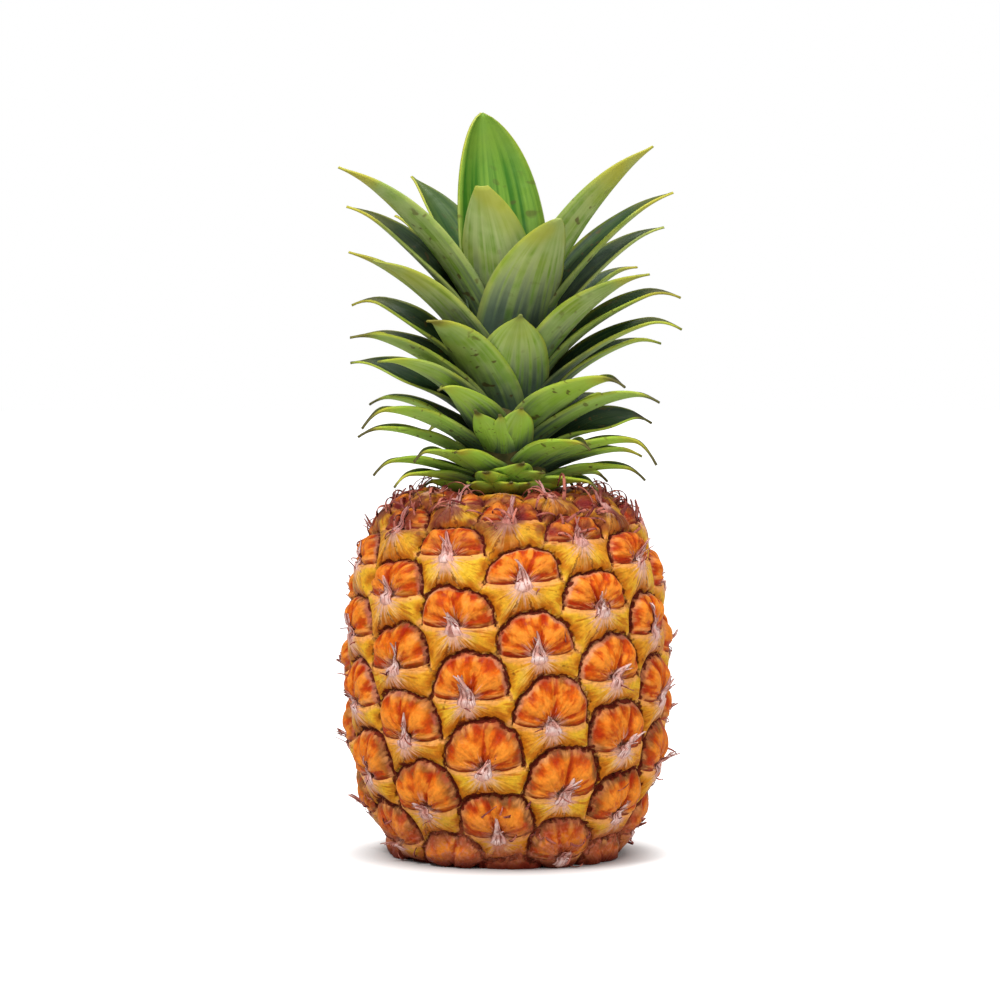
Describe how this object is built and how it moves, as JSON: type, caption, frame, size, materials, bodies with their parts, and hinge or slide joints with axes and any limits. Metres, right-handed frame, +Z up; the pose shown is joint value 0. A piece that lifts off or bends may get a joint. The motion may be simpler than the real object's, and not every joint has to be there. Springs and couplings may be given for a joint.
{
  "type": "pineapple",
  "caption": "Whole fresh pineapple standing upright: squarish barrel fruit covered in raised spiral eyes with bract tips, cut stalk below, spiky leaf crown on top.",
  "frame": {"origin": "middle of the base, on the surface that the fruit stands on", "axes": "+Z up along the fruit's core to the crown, -Y the side seen in the picture, +X to the right in it"},
  "size_m": [0.1339, 0.1311, 0.2901],
  "materials": {
    "rind": "waxy rind, orange domes between brown grooves and yellow bracts",
    "stalk": "dry fibrous cut end",
    "leaf": "tough satin leaf, pale bloom outside and green inside"
  },
  "bodies": {
    "root": {"fruit": "rind", "stalk": "stalk", "crown": "leaf"}
  },
  "joints": []
}
